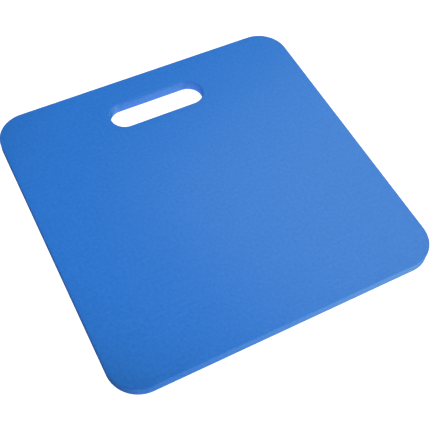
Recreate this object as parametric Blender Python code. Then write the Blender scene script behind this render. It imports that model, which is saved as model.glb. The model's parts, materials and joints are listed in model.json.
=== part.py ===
"""Kickboard float: a die-cut sheet of closed-cell foam, sealed in a seamless dipped vinyl coat.

Units are metres. The board lies flat with its deck up (+Z) and its hand slot near the +Y edge.
The origin is on the underside, at the middle of the board.
"""

import bmesh
import bpy
from math import cos, pi, sin
from mathutils import Vector

# The finished board, measured over the coat
BOARD_LENGTH = 0.4064  # along Y
BOARD_WIDTH = 0.4064  # along X
BOARD_THICKNESS = 0.0155
CORNER_RADIUS = 0.0385  # the four corners, seen from above
RIM_RADIUS = 0.0018  # the rounded edges above and below, round the board and round the slot

# The hand slot, measured inside the coat: a stadium across the board
SLOT_LENGTH = 0.128
SLOT_WIDTH = 0.038
HANDLE_BAR = 0.039  # the strip between the slot and the +Y edge, which the fingers close round

# The coat on the foam
COAT_THICKNESS = 0.0011
BOND_GAP = 0.0003  # between the coat and the foam

# The two pins that carried the foam through the dip, pushed into the +Y edge
PIN_DIAMETER = 0.0030
PIN_DEPTH = 0.030  # from the board's edge to the end of the pin
PIN_FROM_SLOT = 0.050  # along X, from the end of the slot to the pin's axis
PIN_OVERRUN = 0.005  # how far a pin's cutter stands out of the edge

# How finely the round shapes are divided
CORNER_STEPS = 12  # in a quarter turn of an outline
RIM_RESOLUTION = 2  # a quarter turn of a rim has one segment more
PIN_SIDES = 16
WELD_DISTANCE = 0.00001

# Colours (linear), roughness and metallic value
COAT_FINISH = ((0.026, 0.157, 0.579, 1.0), 0.48, 0.0)
FOAM_FINISH = ((0.62, 0.63, 0.64, 1.0), 0.95, 0.0)


def clear_scene():
    for item in list(bpy.data.objects):
        bpy.data.objects.remove(item, do_unlink=True)


def new_collection(name):
    collection = bpy.data.collections.new(name)
    bpy.context.scene.collection.children.link(collection)
    return collection


def make_material(name, finish):
    colour, roughness, metallic = finish
    material = bpy.data.materials.new(name)
    material.use_nodes = True
    shader = material.node_tree.nodes["Principled BSDF"]
    shader.inputs["Base Color"].default_value = colour
    shader.inputs["Roughness"].default_value = roughness
    shader.inputs["Metallic"].default_value = metallic
    material.diffuse_color = colour
    return material


def rounded_rectangle(size_x, size_y, radius, centre_y=0.0):
    """The outline's points, anticlockwise, with each corner an arc.

    Where a side is as short as two radii its arcs meet, and the point they share is kept once.
    """
    points = []
    for quarter in range(4):
        sign_x = 1 if quarter in (0, 3) else -1
        sign_y = 1 if quarter in (0, 1) else -1
        middle = Vector((sign_x * (size_x / 2 - radius), centre_y + sign_y * (size_y / 2 - radius)))
        for step in range(CORNER_STEPS + 1):
            angle = (quarter + step / CORNER_STEPS) * pi / 2
            point = middle + radius * Vector((cos(angle), sin(angle)))
            if not points or (point - points[-1]).length > WELD_DISTANCE:
                points.append(point)
    if (points[0] - points[-1]).length <= WELD_DISTANCE:
        points.pop()
    return points


def add_outline(curve, points):
    spline = curve.splines.new("POLY")
    spline.points.add(len(points) - 1)
    for target, point in zip(spline.points, points):
        target.co = (point.x, point.y, 0.0, 1.0)
    spline.use_cyclic_u = True


def slot_centre_y():
    return BOARD_LENGTH / 2 - HANDLE_BAR - SLOT_WIDTH / 2


def board_solid(name, inset, collection):
    """The board's shape with its slot and rounded rims, drawn in by inset from the finished surface."""
    rim = RIM_RADIUS - inset
    outer_inset = inset + rim
    curve = bpy.data.curves.new(name, "CURVE")
    curve.dimensions = "2D"
    curve.fill_mode = "BOTH"
    curve.bevel_depth = rim
    curve.bevel_resolution = RIM_RESOLUTION
    curve.extrude = BOARD_THICKNESS / 2 - outer_inset
    edge = rounded_rectangle(
        BOARD_WIDTH - 2 * outer_inset, BOARD_LENGTH - 2 * outer_inset, CORNER_RADIUS - outer_inset
    )
    slot_radius = SLOT_WIDTH / 2 + outer_inset
    slot = rounded_rectangle(
        SLOT_LENGTH + 2 * outer_inset, SLOT_WIDTH + 2 * outer_inset, slot_radius, slot_centre_y()
    )
    add_outline(curve, edge)
    # A hole runs the other way round, so that its rims grow out of the foam as the edge's do
    add_outline(curve, list(reversed(slot)))
    outline = bpy.data.objects.new(name + "_outline", curve)
    collection.objects.link(outline)
    outline.location.z = BOARD_THICKNESS / 2
    return curve_to_mesh(name, outline, collection)


def curve_to_mesh(name, outline, collection):
    """A mesh object in the curve's place, with its caps welded to its sides."""
    bpy.context.view_layer.update()
    graph = bpy.context.evaluated_depsgraph_get()
    mesh = bpy.data.meshes.new_from_object(outline.evaluated_get(graph))
    mesh.name = name
    shape = bmesh.new()
    shape.from_mesh(mesh)
    bmesh.ops.remove_doubles(shape, verts=shape.verts, dist=WELD_DISTANCE)
    bmesh.ops.recalc_face_normals(shape, faces=shape.faces)
    shape.to_mesh(mesh)
    shape.free()
    solid = bpy.data.objects.new(name, mesh)
    collection.objects.link(solid)
    solid.matrix_world = outline.matrix_world.copy()
    bpy.data.objects.remove(outline, do_unlink=True)
    return solid


def mark_as_cutter(cutter):
    cutter.hide_render = True
    cutter.display_type = "WIRE"


def make_pin_cutters(collection):
    """A cylinder along Y for each dip pin, from outside the +Y edge to the depth the pin reached."""
    pins = []
    pin_length = PIN_DEPTH + PIN_OVERRUN
    pin_x = SLOT_LENGTH / 2 + PIN_FROM_SLOT
    middle_y = BOARD_LENGTH / 2 + PIN_OVERRUN - pin_length / 2
    for side, sign in (("left", -1), ("right", 1)):
        bpy.ops.mesh.primitive_cylinder_add(
            vertices=PIN_SIDES,
            radius=PIN_DIAMETER / 2,
            depth=pin_length,
            location=(sign * pin_x, middle_y, BOARD_THICKNESS / 2),
            rotation=(pi / 2, 0.0, 0.0),
        )
        pin = bpy.context.object
        pin.name = "dip_pin_" + side
        for owner in list(pin.users_collection):
            owner.objects.unlink(pin)
        collection.objects.link(pin)
        mark_as_cutter(pin)
        pins.append(pin)
    return pins


def cut(solid, cutters):
    for cutter in cutters:
        boolean = solid.modifiers.new("cut_" + cutter.name, "BOOLEAN")
        boolean.operation = "DIFFERENCE"
        boolean.solver = "EXACT"
        boolean.object = cutter


def shade_round(solid):
    solid.data.shade_smooth()
    solid.data.set_sharp_from_angle(angle=pi / 5)


def make_foam_core(parts, pins, material):
    """The foam blank, cut to shape before the dip, with the pins' blind holes in its +Y edge."""
    core = board_solid("foam_core", COAT_THICKNESS + BOND_GAP, parts)
    cut(core, pins)
    core.data.materials.append(material)
    shade_round(core)
    return core


def make_vinyl_coat(parts, cutters, pins, material):
    """The skin over the whole board and through the slot, open only where the pins came out."""
    coat = board_solid("vinyl_coat", 0.0, parts)
    cavity = board_solid("coat_cavity", COAT_THICKNESS, cutters)
    mark_as_cutter(cavity)
    cut(coat, [cavity, *pins])
    coat.data.materials.append(material)
    shade_round(coat)
    return coat


def main():
    clear_scene()
    parts = new_collection("kickboard_float")
    cutters = new_collection("cutters")
    pins = make_pin_cutters(cutters)
    make_foam_core(parts, pins, make_material("closed_cell_foam", FOAM_FINISH))
    make_vinyl_coat(parts, cutters, pins, make_material("blue_vinyl", COAT_FINISH))


main()
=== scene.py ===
"""Looks of the kickboard float: a foam blank in a dipped satin vinyl coat.

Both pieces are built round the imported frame. Units are metres.
"""

import json
from math import cos, exp, hypot, pi, radians, sin

import bmesh
import bpy
from mathutils import Matrix, Quaternion, Vector, noise


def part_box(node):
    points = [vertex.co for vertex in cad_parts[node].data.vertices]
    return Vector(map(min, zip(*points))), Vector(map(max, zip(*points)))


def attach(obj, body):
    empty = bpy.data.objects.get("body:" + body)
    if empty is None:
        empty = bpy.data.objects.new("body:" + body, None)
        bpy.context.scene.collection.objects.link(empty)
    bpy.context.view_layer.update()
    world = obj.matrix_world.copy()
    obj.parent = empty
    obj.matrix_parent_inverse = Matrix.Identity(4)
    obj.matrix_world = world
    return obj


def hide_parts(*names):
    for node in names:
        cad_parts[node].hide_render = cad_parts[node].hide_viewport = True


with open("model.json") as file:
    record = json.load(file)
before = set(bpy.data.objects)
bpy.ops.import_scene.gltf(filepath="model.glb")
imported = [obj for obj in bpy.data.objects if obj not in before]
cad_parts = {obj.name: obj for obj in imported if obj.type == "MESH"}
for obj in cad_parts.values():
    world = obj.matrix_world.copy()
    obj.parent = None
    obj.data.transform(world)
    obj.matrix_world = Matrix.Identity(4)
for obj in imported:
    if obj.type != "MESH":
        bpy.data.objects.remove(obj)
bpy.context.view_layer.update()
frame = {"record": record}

# ---------------------------------------------------------------- sizes, in metres

COAT_LOW, COAT_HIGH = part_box("vinyl_coat")
CORE_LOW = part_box("foam_core")[0]
HANG_WALL = next(m for m in frame["record"]["mounts"] if m["name"] == "hang_wall")

BOARD_WIDTH = COAT_HIGH.x - COAT_LOW.x
BOARD_LENGTH = COAT_HIGH.y - COAT_LOW.y
BOARD_THICKNESS = COAT_HIGH.z - COAT_LOW.z
MIDDLE_Z = (COAT_HIGH.z + COAT_LOW.z) / 2
CORNER_RADIUS = 0.0385
RIM_RADIUS = 0.0018
SLOT_LENGTH = 0.128
SLOT_WIDTH = 0.038
SLOT_Y = HANG_WALL["pos_m"][1] - SLOT_WIDTH / 2
COAT_THICKNESS = 0.0011
CORE_INSET = CORE_LOW.z - COAT_LOW.z
PIN_RADIUS = 0.0015
PIN_X = 0.114
PIN_DEPTH = 0.030

# How finely the pieces are cut
CORNER_SEGMENTS = 20
SLOT_SEGMENTS = 16
RIM_STEPS = 7
WALL_STEPS = 3
SHOULDER = 0.0009  # a flat ring inside each rim, which keeps the rim's shading off the face
GRID_STEP = PIN_X / 18
CORE_GRID_STEP = PIN_X / 6
PIN_SEGMENTS = 24  # as many as the edges of the square patch cut for a pin
MERGE = 0.000002

# How the skin turns in at a pin's hole: (radius in pin radii, depth in metres) for each ring
PUCKER = ((1.60, 0.00024), (1.35, 0.00030), (1.15, 0.00045), (1.00, 0.00070))

PIN_PATCH_HALF = 2 * PIN_RADIUS  # half the square patch that a pin's hole is opened in
HANDLE_EDGE_FACING = 0.9  # near a pin, a face with more Y than this in its normal is on the edge

# Small unevenness of the dipped skin, all of it inside the board's box
SWELL_HEIGHT = 0.00010  # slow swells of the foam under the skin
SWELL_SPAN = 0.070
RIPPLE_HEIGHT = 0.00004  # shorter ripples, where the vinyl ran before it set
RIPPLE_SPAN = 0.022
RIPPLE_STRETCH = 1.6  # how much longer the ripples are along Y
PINCH_DEPTH = 0.00012  # the die pinched the foam a little along every cut edge
PINCH_REACH = 0.0060
WALL_DISH = 0.00018  # a die-cut wall is a little hollow between its rims


# ---------------------------------------------------------------- looks, light and view

# Colours are linear. A span is the size of a pattern's features, and a pair is its least and most.
VINYL_BLUE = (0.0256, 0.1545, 0.5810)
VINYL_GRAIN = (0.0056, 0.0120, 0.0230)  # the most that the pale grain adds or takes away
VINYL_GRAIN_SPAN = 0.0038
VINYL_CLOUDS = (0.988, 1.012)
VINYL_CLOUD_SPAN = 0.022
VINYL_ROUGHNESS = (0.28, 0.34)
VINYL_ROUGHNESS_SPAN = 0.016
PEEL_DEPTH = 0.000075  # the orange peel of the dip
PEEL_SPAN = 0.0050
FINE_PEEL_DEPTH = 0.000025
FINE_PEEL_SPAN = 0.0016
PATTERN_DETAIL = 3.0

FOAM_GREY = (0.55, 0.57, 0.58)
FOAM_ROUGHNESS = 0.85
FOAM_CLOUDS = (0.95, 1.05)
FOAM_CLOUD_SPAN = 0.006
CELL_SPAN = 0.0006
CELL_GROOVE_SHADE = (0.84, 1.0)  # painted shade: how dark the grooves along a cell's walls are painted, and the tone away from them
CELL_WALL_REACH = 0.25  # how far the painted shade reaches from a cell's wall, in cells
CELL_DEPTH = 0.00008

FLOOR_SIZE = 8.0
FLOOR_HEIGHT = -0.0003
FLOOR_GREY = (0.2, 0.2, 0.2, 1.0)
FLOOR_GLOW = 1.1

SURROUND_GLOW = 1.78
SURROUND_TINT = (0.95, 1.38, 0.90)  # a faint green cast
SURROUND_DIM = 0.01
GLOW_FROM_X = (0.16, 0.53)  # where the glow starts and is full, along the direction's X
GLOW_FROM_Y = (0.0, -0.75)
BEAM_PLACE = Vector((-0.50, -0.30, 2.20))
BEAM_TARGET = Vector((0.059, 0.027, 0.0))
BEAM_SPREAD = radians(11)  # half the cone, which fades towards the board's corners
BEAM_BLEND = 0.71
BEAM_POWER = 173.0
BEAM_SOFTNESS = 0.05
BOUNCE_RADIANCE = 0.97  # light off the floor, in front of the board and through its slot
BOUNCE_HEIGHT = -0.0001
BOUNCE_SIZE = 4.0
BOUNCE_X = 1.793  # so that little of it is beyond the -X side
BOUNCE_Y = -2.20
PANEL_PLACE = Vector((0.82, 0.25, 0.90))
PANEL_SIZE_X = 1.10
PANEL_SIZE_Y = 1.19
PANEL_TURN = radians(19)
PANEL_RADIANCE = 1.2
PANEL_TINT = (0.95, 1.20, 0.95)

CAMERA_AZIMUTH = radians(-30.457)
CAMERA_ELEVATION = radians(56.238)
CAMERA_ROLL = radians(3.955)
CAMERA_DISTANCE = 0.9555
CAMERA_TARGET = Vector((-0.0063, -0.0333, 0.0))
CAMERA_LENS = 66.487
SENSOR_WIDTH = 36.0


# ---------------------------------------------------------------- the board's shape


def rounded_face(shape, size_x, size_y, radius, centre_y, height, segments):
    """A flat face with round corners: a square plate, sized, with its corners bevelled."""
    before = set(shape.faces)
    corners = bmesh.ops.create_grid(shape, x_segments=1, y_segments=1, size=0.5)["verts"]
    bmesh.ops.scale(shape, vec=(size_x, size_y, 1.0), verts=corners)
    bmesh.ops.translate(shape, vec=(0.0, centre_y, height), verts=corners)
    bmesh.ops.bevel(
        shape,
        geom=corners,
        offset=radius,
        offset_type="OFFSET",
        segments=segments,
        profile=0.5,
        affect="VERTICES",
        material=-1,
        clamp_overlap=False,
    )
    face = next(f for f in shape.faces if f not in before)
    bmesh.ops.remove_doubles(shape, verts=list(face.verts), dist=MERGE)
    face = next(f for f in shape.faces if f not in before)
    if face.normal.z < 0:
        face.normal_flip()
    return face


def step_in(shape, face, across, along):
    """Insets a face by across, and moves it by along its normal."""
    bmesh.ops.inset_region(
        shape, faces=[face], thickness=across, depth=along, use_boundary=True, use_even_offset=True
    )


def raise_face(shape, face, rise):
    """Extrudes a face straight up or down and gives the face at the new height."""
    moved = bmesh.ops.extrude_discrete_faces(shape, faces=[face])["faces"][0]
    bmesh.ops.translate(shape, vec=(0.0, 0.0, rise), verts=list(moved.verts))
    return moved


def quarter_steps(radius):
    """The steps of a quarter round: (along its first tangent, across it), for each segment."""
    angles = [step / RIM_STEPS * pi / 2 for step in range(RIM_STEPS + 1)]
    for low, high in zip(angles, angles[1:]):
        yield radius * (sin(high) - sin(low)), radius * (cos(low) - cos(high))


def board_edge(shape, inset, half_height, rim):
    """The outer wall above mid-height and its rim, up to the flat of the face."""
    face = rounded_face(
        shape,
        BOARD_WIDTH - 2 * inset,
        BOARD_LENGTH - 2 * inset,
        CORNER_RADIUS - inset,
        0.0,
        0.0,
        CORNER_SEGMENTS,
    )
    for step in range(WALL_STEPS):
        face = raise_face(shape, face, (half_height - rim) / WALL_STEPS)
    for rise, inward in quarter_steps(rim):
        step_in(shape, face, inward, rise)
    step_in(shape, face, SHOULDER, 0.0)
    bmesh.ops.delete(shape, geom=[face], context="FACES_ONLY")


def slot_edge(shape, inset, half_height, rim):
    """The slot's rim from the flat of the face, and its wall down to mid-height."""
    grown = 2 * (inset + rim + SHOULDER)
    radius = (SLOT_WIDTH + grown) / 2
    face = rounded_face(
        shape, SLOT_LENGTH + grown, SLOT_WIDTH + grown, radius, SLOT_Y, half_height, SLOT_SEGMENTS
    )
    step_in(shape, face, SHOULDER, 0.0)
    for inward, drop in quarter_steps(rim):
        step_in(shape, face, inward, -drop)
    for step in range(WALL_STEPS):
        face = raise_face(shape, face, (rim - half_height) / WALL_STEPS)
    bmesh.ops.delete(shape, geom=[face], context="FACES_ONLY")


def cut_across(shape, geometry, axis, place):
    """Cuts geometry by the plane across an axis at a place on it, and gives the faces after it."""
    point = Vector()
    point[axis] = place
    normal = Vector()
    normal[axis] = 1.0
    cut = bmesh.ops.bisect_plane(
        shape, geom=geometry, dist=MERGE, plane_co=point, plane_no=normal
    )
    return [g for g in cut["geom"] if isinstance(g, bmesh.types.BMFace)]


def cut_grid(shape, step):
    """Cuts the whole shape by planes across X and across Y, step apart."""
    for axis, size in ((0, BOARD_WIDTH), (1, BOARD_LENGTH)):
        lines = int(size / 2 / step)
        for line in range(-lines, lines + 1):
            geometry = shape.verts[:] + shape.edges[:] + shape.faces[:]
            cut_across(shape, geometry, axis, line * step)


def board_shell(inset, step):
    """The whole board's skin, closed and drawn in by inset: an upper half and its mirror image."""
    shape = bmesh.new()
    half_height = BOARD_THICKNESS / 2 - inset
    rim = RIM_RADIUS - inset
    board_edge(shape, inset, half_height, rim)
    slot_edge(shape, inset, half_height, rim)
    top = half_height - MERGE
    loops = [e for e in shape.edges if e.is_boundary and all(v.co.z > top for v in e.verts)]
    bmesh.ops.triangle_fill(shape, use_beauty=True, edges=loops, normal=(0.0, 0.0, 1.0))
    cut_grid(shape, step)
    geometry = shape.verts[:] + shape.edges[:] + shape.faces[:]
    bmesh.ops.mirror(shape, geom=geometry, axis="Z", merge_dist=MERGE)
    bmesh.ops.remove_doubles(shape, verts=shape.verts[:], dist=MERGE)
    bmesh.ops.recalc_face_normals(shape, faces=shape.faces[:])
    return shape


# ---------------------------------------------------------------- the holes of the dip pins


def open_pin_patch(shape, pin_x):
    """Takes a square of the handle edge away round a pin and gives the edges of the opening."""
    wall = []
    for face in shape.faces:
        off_pin = min(abs(v.co.x - pin_x) for v in face.verts)
        if face.normal.y > HANDLE_EDGE_FACING and off_pin < PIN_PATCH_HALF:
            wall.append(face)
    for axis, middle in ((0, pin_x), (2, 0.0)):
        for place in (middle - PIN_PATCH_HALF, middle + PIN_PATCH_HALF):
            edges = {e for f in wall for e in f.edges}
            verts = {v for f in wall for v in f.verts}
            wall = cut_across(shape, wall + list(edges) + list(verts), axis, place)
    patch = set()
    for face in wall:
        middle = face.calc_center_median()
        if max(abs(middle.x - pin_x), abs(middle.z)) < PIN_PATCH_HALF:
            patch.add(face)
    square = [e for f in patch for e in f.edges if not patch.issuperset(e.link_faces)]
    bmesh.ops.delete(shape, geom=list(patch), context="FACES")
    bmesh.ops.subdivide_edges(shape, edges=square, cuts=1)
    reach = 2 * PIN_PATCH_HALF
    return [e for e in shape.edges if e.is_boundary and abs(e.verts[0].co.x - pin_x) < reach]


def pin_hole(shape, pin_x, rings):
    """Opens a round hole along Y. Rings holds (radius, y) for each of its rings, mouth first."""
    square = open_pin_patch(shape, pin_x)
    radius, last_y = rings[0]
    turn = Matrix.Rotation(pi / 2, 4, "X")
    mouth = bmesh.ops.create_circle(
        shape,
        segments=PIN_SEGMENTS,
        radius=radius,
        matrix=Matrix.Translation((pin_x, last_y, 0.0)) @ turn,
    )["verts"]
    ring = list({e for v in mouth for e in v.link_edges})
    bmesh.ops.bridge_loops(shape, edges=square + ring)
    to_axis = Matrix.Translation((-pin_x, 0.0, 0.0))
    for next_radius, y in rings[1:]:
        grown = bmesh.ops.extrude_edge_only(shape, edges=ring)["geom"]
        verts = [g for g in grown if isinstance(g, bmesh.types.BMVert)]
        ring = [g for g in grown if isinstance(g, bmesh.types.BMEdge)]
        ratio = next_radius / radius
        bmesh.ops.scale(shape, vec=(ratio, 1.0, ratio), space=to_axis, verts=verts)
        bmesh.ops.translate(shape, vec=(0.0, y - last_y, 0.0), verts=verts)
        radius, last_y = next_radius, y
    return ring


# ---------------------------------------------------------------- unevenness


def outline_distance(x, y, half_x, half_y, radius):
    """How far a point is outside a rectangle with round corners; negative inside it."""
    over_x = abs(x) - (half_x - radius)
    over_y = abs(y) - (half_y - radius)
    return hypot(max(over_x, 0.0), max(over_y, 0.0)) + min(max(over_x, over_y), 0.0) - radius


def edge_distance(point):
    """How far a point of the board is from its outline or from the slot, seen from above."""
    to_edge = -outline_distance(
        point.x, point.y, BOARD_WIDTH / 2, BOARD_LENGTH / 2, CORNER_RADIUS
    )
    to_slot = outline_distance(
        point.x, point.y - SLOT_Y, SLOT_LENGTH / 2, SLOT_WIDTH / 2, SLOT_WIDTH / 2
    )
    return max(min(to_edge, to_slot), 0.0)


def level(point, span, stretch=1.0):
    """Smooth noise from 0 to 1, with features about span across, drawn out along Y by stretch."""
    place = Vector((point.x, point.y / stretch, point.z)) / span
    return min(max(0.5 + 0.5 * noise.noise(place), 0.0), 1.0)


def wear_in(shape):
    """Sinks the skin a little, unevenly: swells and ripples, pinched edges and dished walls."""
    shape.normal_update()
    straight_wall = BOARD_THICKNESS / 2 - RIM_RADIUS
    moves = []
    for vert in shape.verts:
        flat = abs(vert.normal.z)
        sink = SWELL_HEIGHT * level(vert.co, SWELL_SPAN)
        sink += RIPPLE_HEIGHT * level(vert.co, RIPPLE_SPAN, stretch=RIPPLE_STRETCH)
        sink += PINCH_DEPTH * flat * exp(-edge_distance(vert.co) / PINCH_REACH)
        up_wall = min(abs(vert.co.z) / straight_wall, 1.0)
        sink += WALL_DISH * (1 - flat) * (1 - up_wall**2)
        moves.append((vert, vert.normal * -sink))
    for vert, move in moves:
        vert.co += move


# ---------------------------------------------------------------- pieces


def piece_from(name, shape, material):
    bmesh.ops.translate(shape, vec=(0.0, 0.0, MIDDLE_Z), verts=shape.verts[:])
    mesh = bpy.data.meshes.new(name)
    shape.to_mesh(mesh)
    shape.free()
    mesh.shade_smooth()
    mesh.materials.append(material)
    piece = bpy.data.objects.new(name, mesh)
    bpy.context.scene.collection.objects.link(piece)
    return piece


def make_vinyl_skin(material):
    """The dipped coat: an outer skin and a lining, joined through a puckered hole at each pin."""
    skin = board_shell(0.0, GRID_STEP)
    wear_in(skin)
    lining = board_shell(COAT_THICKNESS, CORE_GRID_STEP)
    edge_y = BOARD_LENGTH / 2
    for side in (-1, 1):
        rings = [(PIN_RADIUS * wide, edge_y - deep) for wide, deep in PUCKER]
        rings.append((PIN_RADIUS, edge_y - COAT_THICKNESS))
        pin_hole(skin, side * PIN_X, rings)
        pin_hole(lining, side * PIN_X, rings[-1:])
    inside = bpy.data.meshes.new("coat_lining")
    lining.to_mesh(inside)
    lining.free()
    skin.from_mesh(inside)
    bpy.data.meshes.remove(inside)
    bmesh.ops.remove_doubles(skin, verts=skin.verts[:], dist=MERGE)
    bmesh.ops.recalc_face_normals(skin, faces=skin.faces[:])
    return piece_from("vinyl_skin", skin, material)


def make_foam_blank(material):
    """The foam under the coat, with the blind holes that the pins left."""
    foam = board_shell(CORE_INSET, CORE_GRID_STEP)
    edge_y = BOARD_LENGTH / 2
    rings = [(PIN_RADIUS, edge_y - CORE_INSET), (PIN_RADIUS, edge_y - PIN_DEPTH)]
    for side in (-1, 1):
        end = pin_hole(foam, side * PIN_X, rings)
        bmesh.ops.edgeloop_fill(foam, edges=end)
    bmesh.ops.recalc_face_normals(foam, faces=foam.faces[:])
    return piece_from("foam_blank", foam, material)


# ---------------------------------------------------------------- materials


class Nodes:
    """A material's node tree, with short ways to add the few kinds of node used here."""

    def __init__(self, name):
        self.material = bpy.data.materials.new(name)
        self.material.use_nodes = True
        self.tree = self.material.node_tree
        self.shader = self.tree.nodes["Principled BSDF"]
        self.place = self.add("ShaderNodeTexCoord").outputs["Object"]

    def add(self, kind, **settings):
        node = self.tree.nodes.new(kind)
        for name, value in settings.items():
            setattr(node, name, value)
        return node

    def link(self, output, socket):
        self.tree.links.new(output, socket)

    def noise(self, span, detail=2.0):
        """Smooth noise with features about span metres across."""
        node = self.add("ShaderNodeTexNoise")
        node.inputs["Scale"].default_value = 1.0 / span
        node.inputs["Detail"].default_value = detail
        self.link(self.place, node.inputs["Vector"])
        return node.outputs["Fac"]

    def between(self, value, low, high, from_low=0.3, from_high=0.7):
        """A value spread from low to high, as the value goes between two levels."""
        node = self.add("ShaderNodeMapRange")
        node.inputs["From Min"].default_value = from_low
        node.inputs["From Max"].default_value = from_high
        node.inputs["To Min"].default_value = low
        node.inputs["To Max"].default_value = high
        self.link(value, node.inputs["Value"])
        return node.outputs["Result"]

    def product(self, first, second):
        node = self.add("ShaderNodeMath", operation="MULTIPLY")
        self.link(first, node.inputs[0])
        self.link(second, node.inputs[1])
        return node.outputs["Value"]

    def tint(self, colour, shade):
        """A colour made lighter or darker by shade."""
        node = self.add("ShaderNodeVectorMath", operation="SCALE")
        node.inputs[0].default_value = colour
        self.link(shade, node.inputs["Scale"])
        return node.outputs["Vector"]

    def plus(self, first, second):
        """Two colours added together."""
        node = self.add("ShaderNodeVectorMath", operation="ADD")
        self.link(first, node.inputs[0])
        self.link(second, node.inputs[1])
        return node.outputs["Vector"]

    def bump(self, height, depth, under=None):
        """Relief of the given depth in metres, laid over another relief."""
        node = self.add("ShaderNodeBump")
        node.inputs["Strength"].default_value = 1.0
        node.inputs["Distance"].default_value = depth
        self.link(height, node.inputs["Height"])
        if under is not None:
            self.link(under, node.inputs["Normal"])
        return node.outputs["Normal"]


def make_vinyl_material():
    """Satin vinyl: a fine pale grain, faintly cloudy, over the soft orange peel of a thick dip."""
    vinyl = Nodes("blue_dipped_vinyl")
    clouds = vinyl.between(vinyl.noise(VINYL_CLOUD_SPAN, PATTERN_DETAIL), *VINYL_CLOUDS)
    grain = vinyl.between(vinyl.noise(VINYL_GRAIN_SPAN, PATTERN_DETAIL), -1.0, 1.0)
    colour = vinyl.plus(vinyl.tint(VINYL_BLUE, clouds), vinyl.tint(VINYL_GRAIN, grain))
    vinyl.link(colour, vinyl.shader.inputs["Base Color"])
    satin = vinyl.between(vinyl.noise(VINYL_ROUGHNESS_SPAN, PATTERN_DETAIL), *VINYL_ROUGHNESS)
    vinyl.link(satin, vinyl.shader.inputs["Roughness"])
    peel = vinyl.bump(vinyl.noise(PEEL_SPAN), PEEL_DEPTH)
    fine = vinyl.bump(vinyl.noise(FINE_PEEL_SPAN), FINE_PEEL_DEPTH, under=peel)
    vinyl.link(fine, vinyl.shader.inputs["Normal"])
    return vinyl.material


def make_foam_material():
    """Closed-cell foam, pale, with cut cells about half a millimetre across."""
    foam = Nodes("closed_cell_foam")
    cells = foam.add("ShaderNodeTexVoronoi", feature="DISTANCE_TO_EDGE")
    cells.inputs["Scale"].default_value = 1.0 / CELL_SPAN
    foam.link(foam.place, cells.inputs["Vector"])
    off_wall = cells.outputs["Distance"]
    # painted shade: the foam is darkened along the cell walls, where the relief below sinks into
    # grooves
    walls = foam.between(off_wall, *CELL_GROOVE_SHADE, from_low=0.0, from_high=CELL_WALL_REACH)
    clouds = foam.between(foam.noise(FOAM_CLOUD_SPAN), *FOAM_CLOUDS)
    colour = foam.tint(FOAM_GREY, foam.product(walls, clouds))
    foam.link(colour, foam.shader.inputs["Base Color"])
    foam.shader.inputs["Roughness"].default_value = FOAM_ROUGHNESS
    foam.link(foam.bump(off_wall, CELL_DEPTH), foam.shader.inputs["Normal"])
    return foam.material


# ---------------------------------------------------------------- stage, light and camera


def make_floor():
    """A plain floor, so bright that no shadow shows on it, and left out of reflections."""
    shape = bmesh.new()
    bmesh.ops.create_grid(shape, x_segments=1, y_segments=1, size=FLOOR_SIZE / 2)
    bmesh.ops.translate(shape, vec=(0.0, 0.0, FLOOR_HEIGHT), verts=shape.verts[:])
    mesh = bpy.data.meshes.new("floor")
    shape.to_mesh(mesh)
    shape.free()
    white = Nodes("pale_floor")
    white.shader.inputs["Base Color"].default_value = FLOOR_GREY
    white.shader.inputs["Roughness"].default_value = 1.0
    white.shader.inputs["Emission Color"].default_value = (1.0, 1.0, 1.0, 1.0)
    white.shader.inputs["Emission Strength"].default_value = FLOOR_GLOW
    mesh.materials.append(white.material)
    floor = bpy.data.objects.new("floor", mesh)
    floor.visible_glossy = False
    bpy.context.scene.collection.objects.link(floor)


def make_surround():
    """The studio round the board: dim, but brighter in front and towards +X, as the walls show."""
    world = bpy.data.worlds.new("studio")
    world.use_nodes = True
    nodes, links = world.node_tree.nodes, world.node_tree.links
    towards = nodes.new("ShaderNodeSeparateXYZ")
    links.new(nodes.new("ShaderNodeTexCoord").outputs["Generated"], towards.inputs["Vector"])
    strength = nodes.new("ShaderNodeMath")
    strength.operation = "MULTIPLY_ADD"
    strength.inputs[2].default_value = SURROUND_DIM
    sides = (("X", GLOW_FROM_X, SURROUND_GLOW), ("Y", GLOW_FROM_Y, 1.0))
    for socket, (axis, (start, full), most) in enumerate(sides):
        ramp = nodes.new("ShaderNodeMapRange")
        ramp.inputs["From Min"].default_value = start
        ramp.inputs["From Max"].default_value = full
        ramp.inputs["To Max"].default_value = most
        links.new(towards.outputs[axis], ramp.inputs["Value"])
        links.new(ramp.outputs["Result"], strength.inputs[socket])
    background = nodes["Background"]
    background.inputs["Color"].default_value = (*SURROUND_TINT, 1.0)
    links.new(strength.outputs["Value"], background.inputs["Strength"])
    world.cycles.sampling_method = "NONE"
    bpy.context.scene.world = world


def place_lamp(data, place, turn, glossy=False):
    """Hangs a lamp that the camera doesn't see; a glossy one shows in reflections."""
    lamp = bpy.data.objects.new(data.name, data)
    lamp.location = place
    lamp.rotation_euler = turn
    lamp.visible_camera = False
    lamp.visible_glossy = glossy
    bpy.context.scene.collection.objects.link(lamp)


def light_from_floor(name, x, y, size_x, size_y):
    """Light coming up from a rectangle of the floor."""
    bounce = bpy.data.lights.new(name, "AREA")
    bounce.shape = "RECTANGLE"
    bounce.size = size_x
    bounce.size_y = size_y
    bounce.energy = BOUNCE_RADIANCE * pi * size_x * size_y
    place_lamp(bounce, (x, y, BOUNCE_HEIGHT), (pi, 0.0, 0.0))


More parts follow.
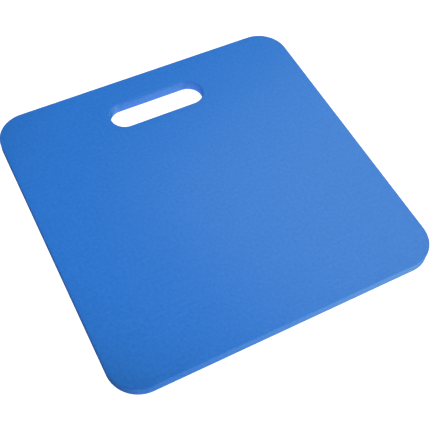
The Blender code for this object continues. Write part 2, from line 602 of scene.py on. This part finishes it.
def make_lamps():
    """A beam from above, a broad panel over the +X side and light coming up off the floor."""
    beam = bpy.data.lights.new("top_beam", "SPOT")
    beam.energy = BEAM_POWER
    beam.spot_size = 2 * BEAM_SPREAD
    beam.spot_blend = BEAM_BLEND
    beam.shadow_soft_size = BEAM_SOFTNESS
    aim = (BEAM_TARGET - BEAM_PLACE).to_track_quat("-Z", "Y")
    place_lamp(beam, BEAM_PLACE, aim.to_euler())
    panel = bpy.data.lights.new("side_panel", "AREA")
    panel.shape = "RECTANGLE"
    panel.color = PANEL_TINT
    panel.size = PANEL_SIZE_X
    panel.size_y = PANEL_SIZE_Y
    panel.energy = PANEL_RADIANCE * pi * PANEL_SIZE_X * PANEL_SIZE_Y
    place_lamp(panel, PANEL_PLACE, (0.0, 0.0, PANEL_TURN), glossy=True)
    light_from_floor("front_bounce", BOUNCE_X, BOUNCE_Y, BOUNCE_SIZE, BOUNCE_SIZE)
    light_from_floor("slot_bounce", 0.0, SLOT_Y, SLOT_LENGTH, SLOT_WIDTH)


def make_camera():
    flat = cos(CAMERA_ELEVATION)
    back = Vector(
        (sin(CAMERA_AZIMUTH) * flat, -cos(CAMERA_AZIMUTH) * flat, sin(CAMERA_ELEVATION))
    )
    data = bpy.data.cameras.new("camera")
    data.lens = CAMERA_LENS
    data.sensor_width = SENSOR_WIDTH
    camera = bpy.data.objects.new("camera", data)
    camera.location = CAMERA_TARGET + back * CAMERA_DISTANCE
    aim = (-back).to_track_quat("-Z", "Y") @ Quaternion((0.0, 0.0, 1.0), CAMERA_ROLL)
    camera.rotation_euler = aim.to_euler()
    bpy.context.scene.collection.objects.link(camera)
    bpy.context.scene.camera = camera


def main():
    bpy.context.scene.view_settings.view_transform = "Standard"
    skin = make_vinyl_skin(make_vinyl_material())
    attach(skin, "root")
    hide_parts("vinyl_coat")
    blank = make_foam_blank(make_foam_material())
    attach(blank, "root")
    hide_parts("foam_core")
    make_floor()
    make_surround()
    make_lamps()
    make_camera()


main()
